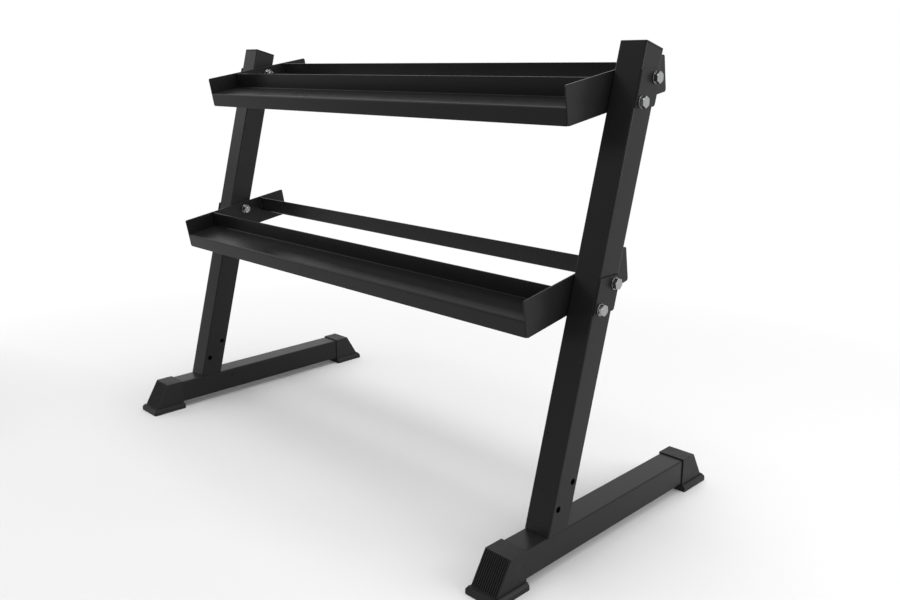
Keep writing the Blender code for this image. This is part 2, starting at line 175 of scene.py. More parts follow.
# ---- Room, floor and lights ------------------------------------------------------------------
FLOOR = (0.650, 0.650, 0.650, 1)
FLOOR_PATCH = (0.660, 0.660, 0.660, 1)
FLOOR_ROUGHNESS = 0.65
FLOOR_SPECULAR = 0.1
FLOOR_RADIUS = 60.0
FLOOR_SIDES = 96
FADE_CENTRE = (0.15, -0.25, 0.0)  # the floor turns into the room's own brightness around this
FADE_REACH = (0.8, 1.8)           # distances where that starts and is complete
DARK_SIDE = (0.1, -0.995, 0.0)    # the unlit side of the room
DARK_REACH = (0.15, 0.65)         # cosines from its direction where it starts and is darkest
DARK_LEVEL = 0.60                 # share of the other sides' brightness
SOFTBOXES = (                     # name, place, aim, diameter and power in watts
    ("top_softbox", (-0.05, 0.1, 3.0), (0.0, 0.0, 0.0), 2.0, 47),
    ("right_softbox", (2.2, 0.6, 1.0), (0.5, 0.0, 0.3), 1.2, 18),
    ("left_softbox", (-2.2, -1.2, 1.6), (-0.4, 0.0, 0.4), 1.2, 4),
)

SIDES = (("left", -1), ("right", 1))
ENDS = (("front", -1), ("rear", 1))
TIERS = ("lower", "upper")
LEVELS = ("low", "high")

# Turns local X, Y, Z into world Y, Z, X: outlines drawn in XY then lie in a vertical plane.
UPENDED = Matrix(((0, 0, 1), (1, 0, 0), (0, 1, 0)))
LEANING = Matrix.Rotation(-LEAN, 3, "X")
ALONG = Vector((0, math.sin(LEAN), math.cos(LEAN)))     # up an upright
ACROSS = Vector((0, math.cos(LEAN), -math.sin(LEAN)))   # from its front face to its back face


# ---- Node trees ------------------------------------------------------------------------------
def new_material(name, colour, roughness, metallic=0.0):
    mat = bpy.data.materials.new(name)
    mat.use_nodes = True
    mat.diffuse_color = (*colour, 1.0)
    shader = mat.node_tree.nodes["Principled BSDF"]
    shader.inputs["Base Color"].default_value = (*colour, 1.0)
    shader.inputs["Roughness"].default_value = roughness
    shader.inputs["Metallic"].default_value = metallic
    return mat, shader


def feed(tree, socket, value):
    """An input socket linked to another socket or set to a value."""
    if isinstance(value, bpy.types.NodeSocket):
        tree.links.new(value, socket)
    else:
        socket.default_value = value


def add_node(tree, kind, **inputs):
    """A node with its inputs fed by name; names use _ for spaces."""
    node = tree.nodes.new(kind)
    for name, value in inputs.items():
        feed(tree, node.inputs[name.replace("_", " ")], value)
    return node


def noise(tree, place, per_metre, detail, rough=0.5):
    node = add_node(tree, "ShaderNodeTexNoise", Vector=place, Scale=per_metre, Detail=detail,
                    Roughness=rough)
    return node.outputs["Fac"]


def remap(tree, value, low, high, to_low, to_high):
    node = add_node(tree, "ShaderNodeMapRange", Value=value, From_Min=low, From_Max=high,
                    To_Min=to_low, To_Max=to_high)
    return node.outputs["Result"]


def mixed(tree, factor, first, second):
    """The first colour where the factor is 0, the second where it is 1."""
    node = tree.nodes.new("ShaderNodeMix")
    node.data_type = "RGBA"
    for socket, value in (("Factor_Float", factor), ("A_Color", first), ("B_Color", second)):
        feed(tree, next(item for item in node.inputs if item.identifier == socket), value)
    return next(item for item in node.outputs if item.identifier == "Result_Color")


def calculated(tree, kind, operation, output, *values):
    """Result of a Math or VectorMath node that is fed values in order."""
    node = tree.nodes.new(kind)
    node.operation = operation
    for socket, value in zip(node.inputs, values):
        feed(tree, socket, value)
    return node.outputs[output]


def object_place(tree):
    return tree.nodes.new("ShaderNodeTexCoord").outputs["Object"]


def edge_mask(tree, width, sharpness):
    """1 on outer and inner edges, 0 on flats: how far a rounded normal strays from the real one."""
    rounded_normal = add_node(tree, "ShaderNodeBevel", Radius=width)
    rounded_normal.samples = BEVEL_SAMPLES
    real = tree.nodes.new("ShaderNodeNewGeometry")
    likeness = calculated(tree, "ShaderNodeVectorMath", "DOT_PRODUCT", "Value",
                          rounded_normal.outputs["Normal"], real.outputs["Normal"])
    return remap(tree, likeness, 1.0, 1.0 - 1.0 / sharpness, 0.0, 1.0)


def bump(tree, shader, height, distance, strength):
    node = add_node(tree, "ShaderNodeBump", Height=height, Distance=distance, Strength=strength)
    tree.links.new(node.outputs["Normal"], shader.inputs["Normal"])


def mixed_height(tree, coarse, fine, share):
    """Two bump heights added, the second one scaled by its share."""
    return calculated(tree, "ShaderNodeMath", "MULTIPLY_ADD", "Value", fine, share, coarse)


def set_sheen(tree, shader, clouds, roughness, specular):
    """Roughness that follows a noise between two values, and an even specular level."""
    tree.links.new(remap(tree, clouds, *NOISE_SPAN, *roughness), shader.inputs["Roughness"])
    shader.inputs["Specular IOR Level"].default_value = specular


# ---- Finishes --------------------------------------------------------------------------------
def powder_coat_finish():
    """Satin black powder coat: fine orange peel, soft patches, and lighter edges that are partly wear
    and partly a painted highlight.
    """
    mat, shader = new_material("powder_coat_finish", COAT[:3], COAT_ROUGHNESS[0])
    tree = mat.node_tree
    place = object_place(tree)
    cloud = noise(tree, place, per_metre=22, detail=3)
    peel = noise(tree, place, per_metre=950, detail=2)
    fine = noise(tree, place, per_metre=2600, detail=1)
    # Lighter edges broken up by noise: partly wear, partly a painted highlight where the edges catch the
    # light.
    breaks = remap(tree, noise(tree, place, per_metre=160, detail=4), *EDGE_BREAKS, 0.0, 0.8)
    edges = calculated(tree, "ShaderNodeMath", "MULTIPLY", "Value",
                       edge_mask(tree, width=0.0007, sharpness=3), breaks)
    colour = mixed(tree, edges, mixed(tree, cloud, COAT, COAT_PATCH), COAT_WORN_EDGE_AND_HIGHLIGHT)
    tree.links.new(colour, shader.inputs["Base Color"])
    set_sheen(tree, shader, cloud, COAT_ROUGHNESS, specular=0.155)
    bump(tree, shader, mixed_height(tree, peel, fine, share=0.35), distance=0.00003, strength=0.35)
    return mat


def rubber_finish():
    """Matt moulded rubber: pebbled grain and a dusty bloom in patches."""
    mat, shader = new_material("rubber_finish", RUBBER[:3], RUBBER_ROUGHNESS[0])
    tree = mat.node_tree
    place = object_place(tree)
    dust = noise(tree, place, per_metre=55, detail=4, rough=0.6)
    cells = add_node(tree, "ShaderNodeTexVoronoi", Vector=place, Scale=1500.0).outputs["Distance"]
    tree.links.new(mixed(tree, dust, RUBBER, RUBBER_BLOOM), shader.inputs["Base Color"])
    set_sheen(tree, shader, dust, RUBBER_ROUGHNESS, specular=0.24)
    bump(tree, shader, mixed_height(tree, cells, dust, share=0.5), distance=0.00008, strength=0.35)
    return mat


def plug_finish():
    """Moulded plastic of the plugs: fine even grain."""
    mat, shader = new_material("plug_finish", PLASTIC[:3], PLASTIC_ROUGHNESS[0])
    tree = mat.node_tree
    place = object_place(tree)
    cloud = noise(tree, place, per_metre=40, detail=3)
    grain = noise(tree, place, per_metre=2200, detail=2)
    tree.links.new(mixed(tree, cloud, PLASTIC, PLASTIC_PATCH), shader.inputs["Base Color"])
    set_sheen(tree, shader, cloud, PLASTIC_ROUGHNESS, specular=0.25)
    bump(tree, shader, grain, distance=0.00004, strength=0.3)
    return mat


def zinc_finish():
    """Zinc plate: cloudy grey tint, fine forged pitting, and lighter edges that are partly rubbed bright
    and partly a painted highlight.
    """
    mat, shader = new_material("zinc_finish", ZINC[:3], ZINC_ROUGHNESS[0], 1.0)
    tree = mat.node_tree
    place = object_place(tree)
    cloud = noise(tree, place, per_metre=260, detail=3)
    pits = noise(tree, place, per_metre=1400, detail=3, rough=0.6)
    # Lighter edges: partly rubbed bright, partly a painted highlight that makes the chamfers' highlights
    # crisper.
    edges = edge_mask(tree, width=0.0004, sharpness=3)
    colour = mixed(tree, edges, mixed(tree, cloud, ZINC, ZINC_CLOUD), ZINC_RUBBED_EDGE_AND_HIGHLIGHT)
    tree.links.new(colour, shader.inputs["Base Color"])
    set_sheen(tree, shader, pits, ZINC_ROUGHNESS, specular=0.5)
    bump(tree, shader, mixed_height(tree, cloud, pits, share=0.5), distance=0.00002, strength=0.4)
    return mat


# ---- Outlines and meshes ---------------------------------------------------------------------
def rounded(corners):
    """Outline points from (x, y, radius) corners; a radius of 0 keeps the corner sharp."""
    points = []
    for index, (x, y, radius) in enumerate(corners):
        corner = Vector((x, y))
        if radius == 0:
            points.append(corner)
            continue
        before = (Vector(corners[index - 1][:2]) - corner).normalized()
        after = (Vector(corners[(index + 1) % len(corners)][:2]) - corner).normalized()
        half_angle = before.angle(after) / 2
        centre = corner + (before + after).normalized() * radius / math.sin(half_angle)
        start = corner + before * radius / math.tan(half_angle) - centre
        end = corner + after * radius / math.tan(half_angle) - centre
        sweep = start.angle_signed(end)
        for step in range(ARC_STEPS + 1):
            points.append(centre + Matrix.Rotation(-sweep * step / ARC_STEPS, 2) @ start)
    return points


def rectangle(width, height, radius):
    x, y = width / 2, height / 2
    return rounded([(-x, -y, radius), (x, -y, radius), (x, y, radius), (-x, y, radius)])


def circle(x, y, radius, sides=ROUND_SIDES):
    turns = [2 * math.pi * side / sides for side in range(sides)]
    return [Vector((x + radius * math.cos(turn), y + radius * math.sin(turn))) for turn in turns]


def cut_sheet(name, outline, holes, thickness, edge):
    """Flat part in XY, centred on Z, with all its edges rounded; holes are outlines too."""
    curve = bpy.data.curves.new(name, "CURVE")
    curve.dimensions = "2D"
    curve.fill_mode = "BOTH"
    curve.extrude = thickness / 2 - edge
    curve.bevel_depth = edge
    curve.bevel_resolution = SHEET_STEPS
    curve.offset = -edge
    for loop in [outline] + [hole[::-1] for hole in holes]:
        spline = curve.splines.new("POLY")
        spline.points.add(len(loop) - 1)
        for point, (x, y) in zip(spline.points, loop):
            point.co = (x, y, 0, 1)
        spline.use_cyclic_u = True
    carrier = bpy.data.objects.new(name, curve)
    bpy.context.scene.collection.objects.link(carrier)
    mesh = evaluated_mesh(carrier, name)
    bpy.data.objects.remove(carrier, do_unlink=True)
    bpy.data.curves.remove(curve)
    return mesh


def evaluated_mesh(obj, name):
    """The object's mesh with its modifiers applied, points and faces merged where they can be."""
    bpy.context.view_layer.update()
    seen = obj.evaluated_get(bpy.context.evaluated_depsgraph_get())
    mesh = bpy.data.meshes.new_from_object(seen)
    mesh.name = name
    shape = bmesh.new()
    shape.from_mesh(mesh)
    bmesh.ops.remove_doubles(shape, verts=shape.verts, dist=WELD)
    bmesh.ops.dissolve_limit(shape, angle_limit=MERGE_ANGLE, verts=shape.verts, edges=shape.edges)
    shape.to_mesh(mesh)
    shape.free()
    return mesh


def box_mesh(name, low, high):
    shape = bmesh.new()
    bmesh.ops.create_cube(shape, size=1.0)
    low, high = Vector(low), Vector(high)
    bmesh.ops.scale(shape, vec=high - low, verts=shape.verts)
    bmesh.ops.translate(shape, vec=(low + high) / 2, verts=shape.verts)
    return kept(shape, name)


def cone_mesh(name, sides, low_radius, high_radius, low, high, matrix=None):
    """Cone or prism about Z between two heights, then moved by the matrix."""
    shape = bmesh.new()
    place = (matrix or Matrix()) @ Matrix.Translation((0, 0, (low + high) / 2))
    bmesh.ops.create_cone(shape, cap_ends=True, segments=sides, radius1=low_radius,
                          radius2=high_radius, depth=high - low, matrix=place)
    return kept(shape, name)


def kept(shape, name):
    """A bmesh written to a new mesh and freed."""
    mesh = bpy.data.meshes.new(name)
    shape.to_mesh(mesh)
    shape.free()
    return mesh


def combined(name, first, steps, edge=0.0):
    """One mesh from Boolean steps, each (operation, mesh); its sharp edges are then rounded."""
    scene = bpy.context.scene.collection
    base = bpy.data.objects.new(name, first)
    scene.objects.link(base)
    helpers = []
    for operation, mesh in steps:
        helper = bpy.data.objects.new(name + "_helper", mesh)
        scene.objects.link(helper)
        helpers.append(helper)
        cut = base.modifiers.new(operation, "BOOLEAN")
        cut.operation = operation
        cut.solver = "EXACT"
        cut.object = helper
    if edge:
        flat = base.modifiers.new("merge", "DECIMATE")
        flat.decimate_type = "DISSOLVE"
        flat.angle_limit = FLAT_ANGLE
        ease = base.modifiers.new("edges", "BEVEL")
        ease.width = edge
        ease.segments = EDGE_STEPS
        ease.limit_method = "ANGLE"
        ease.angle_limit = EDGE_ANGLE
        ease.use_clamp_overlap = True
    mesh = evaluated_mesh(base, name)
    for obj in [base] + helpers:
        bpy.data.objects.remove(obj, do_unlink=True)
    return mesh


# ---- Placing ---------------------------------------------------------------------------------
def finish_piece(name, mesh, mat, nodes, matrix=None):
    """A shown piece: smooth shading that keeps flats flat, riding on the rack's one body."""
    mesh.materials.clear()
    mesh.materials.append(mat)
    mesh.shade_smooth()
    mesh.set_sharp_from_angle(angle=SMOOTH_ANGLE)
    piece = bpy.data.objects.new(name, mesh)
    piece.matrix_world = matrix or Matrix()
    pieces.objects.link(piece)
    normals = piece.modifiers.new("flat_faces", "WEIGHTED_NORMAL")
    normals.keep_sharp = True
    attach(piece, "root")
    if nodes:
        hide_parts(*nodes)


def middle(node):
    low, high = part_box(node)
    return (Vector(low) + Vector(high)) / 2


def turned(centre, rotation):
    """Placing matrix from a place and a 3 by 3 rotation."""
    return Matrix.Translation(centre) @ rotation.to_4x4()


def sloped(angle):
    """Upended and then turned about X, the back end going up by the angle."""
    return Matrix.Rotation(angle, 3, "X") @ UPENDED


# ---- Tubes -----------------------------------------------------------------------------------
def tube_solid(name, length, edge):
    bore = TUBE - 2 * TUBE_WALL
    inner = rectangle(bore, bore, TUBE_CORNER - TUBE_WALL)
    return cut_sheet(name, rectangle(TUBE, TUBE, TUBE_CORNER), [inner], length, edge)


def make_floor_tubes(coat):
    low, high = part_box("foot_tube_right")
    mesh = tube_solid("floor_tube", high.y - low.y, EDGE)
    flat = Matrix.Rotation(math.radians(-90), 3, "X")
    for side, _ in SIDES:
        node = "foot_tube_" + side
        finish_piece("floor_tube_" + side, mesh, coat, [node], turned(middle(node), flat))


def bolt_axes(side):
    """Middles of the bolts of one side, from the lowest up."""
    return [middle("bolt_%s_%s_%s" % (tier, level, side)) for tier in TIERS for level in LEVELS]


def spare_holes(side):
    """The free holes low on the upright: as far below the lower pair as the upper is above."""
    bolts = bolt_axes(side)
    return [2 * bolts[0] - bolts[2], 2 * bolts[1] - bolts[3]]


def make_uprights(coat):
    """Square tube leaning back, cut off level at the floor tube, with its bolt holes."""
    low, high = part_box("upright_right")
    length = (high.z - low.z) / math.cos(LEAN)
    run_out = TUBE * math.tan(LEAN)
    sideways = Matrix.Rotation(math.radians(90), 4, "Y")
    for side, _ in SIDES:
        node = "upright_" + side
        low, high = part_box(node)
        foot = Vector(((low.x + high.x) / 2, low.y, low.z))
        centre = foot + ALONG * (length - run_out) / 2 + ACROSS * TUBE / 2
        mesh = tube_solid(node, length + run_out, EDGE)
        mesh.transform(turned(centre, LEANING))
        below = box_mesh("below", (low.x - TUBE, low.y - TUBE, low.z - TUBE),
                         (high.x + TUBE, low.y + 2 * TUBE, low.z))
        steps = [("DIFFERENCE", below)]
        for point in spare_holes(side) + bolt_axes(side):
            spot = Matrix.Translation((centre.x, point.y, point.z)) @ sideways
            drill = cone_mesh("hole", SHANK_SIDES, HOLE / 2, HOLE / 2, -TUBE, TUBE, spot)
            steps.append(("DIFFERENCE", drill))
        mesh = combined("leaning_" + node, mesh, steps, MITRE_EDGE)
        finish_piece("leaning_" + node, mesh, coat, [node])


def plug_mesh():
    """Moulded plug: a rim as wide as the tube, rounded on top, over a hollow ribbed body."""
    fit = TUBE / 2 - TUBE_WALL - GAP
    body, bore = fit - PLUG_RIB, fit - PLUG_WALL
    rim = cut_sheet("plug_rim", rectangle(TUBE, TUBE, TUBE_CORNER), [], PLUG_RIM, MOULD_EDGE)
    steps = [("UNION", box_mesh("plug_body", (-body, -body, -PLUG_DEPTH), (body, body, 0)))]
    for level in PLUG_RIB_LEVELS:
        ring = box_mesh("plug_rib", (-fit, -fit, level - PLUG_RIB), (fit, fit, level + PLUG_RIB))
        steps.append(("UNION", ring))
    hollow = box_mesh("plug_hollow", (-bore, -bore, -2 * PLUG_DEPTH), (bore, bore, -PLUG_RIM))
    steps.append(("DIFFERENCE", hollow))
    return combined("tube_plug", rim, steps)


def make_plugs(plastic):
    mesh = plug_mesh()
    for side, _ in SIDES:
        node = "upright_plug_" + side
        low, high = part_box(node)
        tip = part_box("upright_" + side)
        corner = Vector(((low.x + high.x) / 2, 0, high.z))
        corner.y = tip[0].y + (high.z - tip[0].z) * math.tan(LEAN)
        centre = corner - ALONG * PLUG_RIM / 2 + ACROSS * TUBE / 2
        finish_piece("tube_plug_" + side, mesh, plastic, [node], turned(centre, LEANING))


# ---- Feet ------------------------------------------------------------------------------------
def foot_base(start, end):
    """Base plate: rounded outer corners and a rounded rim."""
    half = TUBE / 2 + CAP_WALL + CAP_TREAD
    outline = rounded([(-half, start, 0), (half, start, 0), (half, end, CAP_CORNER),
                       (-half, end, CAP_CORNER)])
    mesh = cut_sheet("foot_base", outline, [], CAP_BASE, SHARP)
    shape = bmesh.new()
    shape.from_mesh(mesh)
    bmesh.ops.translate(shape, vec=(0, 0, CAP_BASE / 2), verts=shape.verts)
    bmesh.ops.remove_doubles(shape, verts=shape.verts, dist=5 * SHARP)
    bmesh.ops.dissolve_limit(shape, angle_limit=5 * MERGE_ANGLE, verts=shape.verts, edges=shape.edges)
    rim = [edge for edge in shape.edges
           if all(vert.co.z > CAP_BASE - TOUCH for vert in edge.verts)
           and any(vert.co.y > start + TOUCH for vert in edge.verts)]
    bmesh.ops.bevel(shape, geom=rim, offset=CAP_TREAD, segments=RIM_STEPS, affect="EDGES",
                    profile=RIM_PROFILE)
    shape.to_mesh(mesh)
    shape.free()
    return mesh


def foot_sleeve(start, top):
    """Sleeve: level top, then a slope down to the base, with softened moulded edges."""
    level, low = start + CAP_TOP, start + CAP_TOP + CAP_SLOPE
    outline = rounded([(start, CAP_BASE / 2, 0), (low, CAP_BASE / 2, 0), (low, CAP_BASE, 0),
                       (level, top, CREST), (start, top, 0)])
    mesh = cut_sheet("foot_sleeve", outline, [], TUBE + 2 * CAP_WALL, MOULD_EDGE)
    mesh.transform(UPENDED.to_4x4())
    return mesh


def foot_grooves(start, top):
    """Square grooves down the slope, side by side across it."""
    upper = Vector((0, start + CAP_TOP, top))
    lower = Vector((0, start + CAP_TOP + CAP_SLOPE, CAP_BASE))
    run = upper - lower
    tilt = Matrix.Rotation(math.atan2(run.z, run.y) - math.radians(90), 4, "X")
    square = Matrix.Rotation(math.radians(45), 4, "Z")
    radius = GROOVE_WIDTH / math.sqrt(2)
    shape = bmesh.new()
    for index in range(GROOVES):
        x = (index - (GROOVES - 1) / 2) * GROOVE_PITCH
        centre = Matrix.Translation((upper + lower) / 2 + Vector((x, 0, 0)))
        flat = Matrix.Diagonal((1, 2 * GROOVE_DEPTH / GROOVE_WIDTH, 1, 1))
        bmesh.ops.create_cone(shape, cap_ends=True, segments=4, radius1=radius, radius2=radius,
                              depth=run.length - 2 * GROOVE_MARGIN,
                              matrix=centre @ tilt @ flat @ square)
    return kept(shape, "foot_grooves")


def foot_creases(start):
    """Boxes that cut a slit in the base along the sleeve's two sides and its front."""
    half = TUBE / 2 + CAP_WALL
    toe = start + CAP_TOP + CAP_SLOPE
    low, high = CAP_BASE - 2 * CREASE, CAP_BASE + CREASE / 2
    left = box_mesh("crease", (-half - CREASE, start - CREASE, low), (-half, toe + CREASE, high))
    right = box_mesh("crease", (half, start - CREASE, low), (half + CREASE, toe + CREASE, high))
    front = box_mesh("crease", (-half, toe, low), (half, toe + CREASE, high))
    return [("DIFFERENCE", mesh) for mesh in (left, right, front)]


def make_feet(rubber):
    low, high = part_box("foot_cap_rear_right")
    start, end, top = low.y, high.y, high.z
    tube_low, tube_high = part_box("foot_tube_right")
    half = TUBE / 2 + GAP
    socket = box_mesh("foot_socket", (-half, start - TUBE, tube_low.z - GAP),
                      (half, tube_high.y + GAP, tube_high.z + GAP))
    steps = [("UNION", foot_sleeve(start, top)), ("DIFFERENCE", socket),
             ("DIFFERENCE", foot_grooves(start, top))] + foot_creases(start)
    mesh = combined("moulded_foot", foot_base(start, end), steps)
    for side, _ in SIDES:
        for end_name, sign in ENDS:
            node = "foot_cap_%s_%s" % (end_name, side)
            turn = Matrix.Rotation(0 if sign > 0 else math.pi, 3, "Z")
            place = turned(Vector((middle(node).x, 0, 0)), turn)
            name = "moulded_foot_%s_%s" % (end_name, side)
            finish_piece(name, mesh, rubber, [node], place)


# ---- Shelves ---------------------------------------------------------------------------------
def local_holes(centre, rotation, points):
    """Bolt places in a flat part's own XY."""
    back = rotation.inverted()
    spots = [back @ Vector((0, point.y - centre.y, point.z - centre.z)) for point in points]
    return [circle(spot.x, spot.y, HOLE / 2) for spot in spots]


def tier_bolts(tier, side):
    return [middle("bolt_%s_%s_%s" % (tier, level, side)) for level in LEVELS]


def shelf_middle(tier, x):
    """World point, at x, of the middle of a shelf's side plates."""
    bolts = tier_bolts(tier, "right")
    back = Vector((0, math.cos(SHELF_SLOPE), math.sin(SHELF_SLOPE)))
    up = Vector((0, -math.sin(SHELF_SLOPE), math.cos(SHELF_SLOPE)))
    centre = (bolts[0] + bolts[1]) / 2 - SHELF_AHEAD * back + SHELF_ABOVE * up
    centre.x = x
    return centre


def make_side_plates(coat):
    rotation = sloped(SHELF_SLOPE)
    x, y = PLATE_LENGTH / 2, PLATE_HEIGHT / 2
    outline = rounded([(-x, -y, PLATE_FRONT_LOW), (x, -y, PLATE_REAR_LOW),
                       (x, y, PLATE_REAR_TOP), (-x, y, PLATE_FRONT_TOP)])
    for tier in TIERS:
        for side, _ in SIDES:
            node = "%s_side_plate_%s" % (tier, side)
            low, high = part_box(node)
            centre = shelf_middle(tier, (low.x + high.x) / 2)
            holes = local_holes(centre, rotation, tier_bolts(tier, side))
            mesh = cut_sheet("cut_" + node, outline, holes, high.x - low.x, EDGE)
            finish_piece("cut_" + node, mesh, coat, [node], turned(centre, rotation))


def rail_outline(wall, apron):
    """Z section in the side plates' plane: wall up, floor outwards, apron down at its edge."""
    out = 1 if apron > wall else -1
    near = wall + SHEET if out > 0 else wall
    far = wall if out > 0 else wall + SHEET
    up = PLATE_HEIGHT / 2
    mid = PLATE_LENGTH / 2
    inner = BEND - SHEET
    back = apron - out * SHEET
    under = FLOOR_DROP + SHEET
    corners = [(far, WALL_DROP, EDGE), (near, WALL_DROP, EDGE), (near, FLOOR_DROP, inner),
               (apron, FLOOR_DROP, BEND), (apron, PLATE_HEIGHT, EDGE), (back, PLATE_HEIGHT, EDGE),
               (back, under, inner), (far, under, BEND)]
    return rounded([(u - mid, up - drop, radius) for u, drop, radius in corners])


def make_rails(coat):
    outlines = {"front": rail_outline(FRONT_WALL_U, 0), "rear": rail_outline(REAR_WALL_U, PLATE_LENGTH)}
    rotation = sloped(SHELF_SLOPE)
    for tier in TIERS:
        centre = shelf_middle(tier, 0)
        for end_name, outline in outlines.items():
            node = "%s_%s_rail" % (tier, end_name)
            low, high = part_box(node)
            mesh = cut_sheet("bent_" + node, outline, [], high.x - low.x, BENT_EDGE)
            finish_piece("bent_" + node, mesh, coat, [node], turned(centre, rotation))


def make_clamps(coat):
    skew = CLAMP_WIDTH / 2 * math.tan(LEAN)
    x, y = CLAMP_WIDTH / 2, CLAMP_HEIGHT / 2
    corners = ((-x, -y - skew), (x, -y + skew), (x, y + skew), (-x, y - skew))
    outline = rounded([(*corner, radius) for corner, radius in zip(corners, CLAMP_CORNERS)])
    rotation = sloped(-LEAN)
    for tier in TIERS:
        for side, _ in SIDES:
            node = "%s_clamp_plate_%s" % (tier, side)
            low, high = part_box(node)
            bolts = tier_bolts(tier, side)
            centre = (bolts[0] + bolts[1]) / 2 + ALONG * CLAMP_SHIFT
            centre.x = (low.x + high.x) / 2
            holes = local_holes(centre, rotation, bolts)
            mesh = cut_sheet("cut_" + node, outline, holes, high.x - low.x, EDGE)
            finish_piece("cut_" + node, mesh, coat, [node], turned(centre, rotation))


# ---- Fasteners -------------------------------------------------------------------------------
def hex_blank(name, height, both_ends):
    """Hexagon whose corners are cut back by a cone on its top, and on both ends of a nut."""
    corner = HEAD_FLATS / math.sqrt(3)
    wide, narrow = corner * HEX_CLEAR, HEAD_FLATS / 2 * HEX_FACE
    drop = (wide - narrow) * math.tan(HEX_CHAMFER)
    top = cone_mesh("chamfer_top", ROUND_SIDES, wide, narrow, height - drop, height)
    if both_ends:
        bottom = cone_mesh("chamfer_bottom", ROUND_SIDES, narrow, wide, 0, drop)
    else:
        bottom = cone_mesh("chamfer_bottom", ROUND_SIDES, wide, wide, 0, drop)
    waist = cone_mesh("chamfer_waist", ROUND_SIDES, wide, wide, drop, height - drop)
    limit = combined("chamfer", waist, [("UNION", top), ("UNION", bottom)])
    return combined(name, cone_mesh("hexagon", 6, corner, corner, 0, height), [("INTERSECT", limit)])


def shank_mesh(length):
    """Plain shank down from the head, then a rolled thread that ends in a chamfered tip."""
    shape = bmesh.new()
    count = round(THREAD_LENGTH / THREAD_PITCH * THREAD_STEPS)
    start = THREAD_LENGTH - length
    heights = [HEAD_HEIGHT / 2, start + THREAD_PITCH / 3]
    heights += [start - THREAD_LENGTH * step / count for step in range(count + 1)]
    rings = []
    for height in heights:
        ring = []
        for side in range(SHANK_SIDES):
            turn = side / SHANK_SIDES
            radius = shank_radius(height, turn, length)
            angle = 2 * math.pi * turn
            ring.append(shape.verts.new((radius * math.cos(angle), radius * math.sin(angle), height)))
        rings.append(ring)
    for upper, lower in zip(rings, rings[1:]):
        for side in range(SHANK_SIDES):
            after = (side + 1) % SHANK_SIDES
            shape.faces.new((upper[side], lower[side], lower[after], upper[after]))
    shape.faces.new(rings[0])
    shape.faces.new(rings[-1][::-1])
    return kept(shape, "shank")


def shank_radius(height, turn, length):
    """Outside radius at a height and a share of a turn: plain, or on the thread's V shape."""
    if height > THREAD_LENGTH - length:
        return BOLT / 2 - THREAD_DEPTH * SHANK_RELIEF
    phase = (height / THREAD_PITCH + turn) % 1.0
    groove = THREAD_DEPTH * max(0.0, abs(2 * phase - 1) - THREAD_CREST)
    tip = max(0.0, THREAD_TIP - (height + length))
    return BOLT / 2 - max(groove, tip * TIP_SLOPE)


def bolt_mesh(length):
    head = hex_blank("head", HEAD_HEIGHT, False)
    return combined("hex_bolt", head, [("UNION", shank_mesh(length))], HEX_EDGE)


def nut_mesh():
    bore = BOLT / 2 + NUT_PLAY
    wide = bore + 2 * NUT_MOUTH
    cuts = [(bore, bore, -BORE_REACH, NUT_HEIGHT + BORE_REACH),
            (wide, bore, -NUT_MOUTH, NUT_MOUTH),
            (bore, wide, NUT_HEIGHT - NUT_MOUTH, NUT_HEIGHT + NUT_MOUTH)]
    steps = [("DIFFERENCE", cone_mesh("nut_cut", SHANK_SIDES, *cut)) for cut in cuts]
    return combined("hex_nut", hex_blank("nut_blank", NUT_HEIGHT, True), steps, HEX_EDGE)


def make_fasteners(zinc):
    low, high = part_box("bolt_upper_low_right")
    bolt = bolt_mesh(high.x - low.x - HEAD_HEIGHT)
    nut = nut_mesh()
    low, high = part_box("outer_washer_upper_low_right")
    washer = cut_sheet("flat_washer", circle(0, 0, WASHER / 2), [circle(0, 0, WASHER_BORE / 2)],
                       high.x - low.x, WASHER_EDGE)
    turns = iter(HEAD_TURNS * len(SIDES))
    for side, sign in SIDES:
        outward = Matrix.Rotation(0 if sign > 0 else math.pi, 3, "Z")
        for tier in TIERS:
            for level in LEVELS:
                tag = "%s_%s_%s" % (tier, level, side)
                axis = outward @ UPENDED @ Matrix.Rotation(math.radians(next(turns)), 3, "Z")
                place_fastener("hex_bolt_" + tag, bolt, zinc, "bolt_" + tag, axis, sign, HEAD_HEIGHT)
                place_fastener("hex_nut_" + tag, nut, zinc, "nut_" + tag, axis, sign, NUT_HEIGHT)
                for where in ("outer", "inner"):
                    node = "%s_washer_%s" % (where, tag)
                    finish_piece("flat_%s" % node, washer, zinc, [node],
                                 turned(middle(node), axis))


def place_fastener(name, mesh, zinc, node, axis, sign, height):
    """A head or nut whose outer face is its CAD node's outermost face."""
    low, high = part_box(node)
    centre = middle(node)
    centre.x = (high.x if sign > 0 else low.x) - sign * height
    finish_piece(name, mesh, zinc, [node], turned(centre, axis))


# ---- Weld beads ------------------------------------------------------------------------------
def bead_mesh(name, start, end, radius):
    """Rippled weld bead from point to point, with rounded ends."""
    run = end - start
    count = max(BEAD_LEAST, round(run.length / BEAD_STEP)) * BEAD_RINGS
    turn = run.to_track_quat("Z", "X").to_matrix().to_4x4()
    shape = bmesh.new()
    rings = []
    for step in range(count + 1):
        share = step / count
        wave = 1 + BEAD_RIPPLE * abs(math.sin(math.pi * step / BEAD_RINGS))
        inward = min(1.0, min(share, 1 - share) * run.length / radius)
        size = radius * wave * math.sqrt(max(BEAD_TIP, 1 - (1 - inward) ** 2))
        centre = Matrix.Translation(start + run * share) @ turn
        outline = [centre @ point.to_3d() for point in circle(0, 0, size, BEAD_SIDES)]
        rings.append([shape.verts.new(point) for point in outline])
    for first, second in zip(rings, rings[1:]):
        for side in range(BEAD_SIDES):
            after = (side + 1) % BEAD_SIDES
            shape.faces.new((first[side], first[after], second[after], second[side]))
    shape.faces.new(rings[0][::-1])
    shape.faces.new(rings[-1])
    return kept(shape, name)


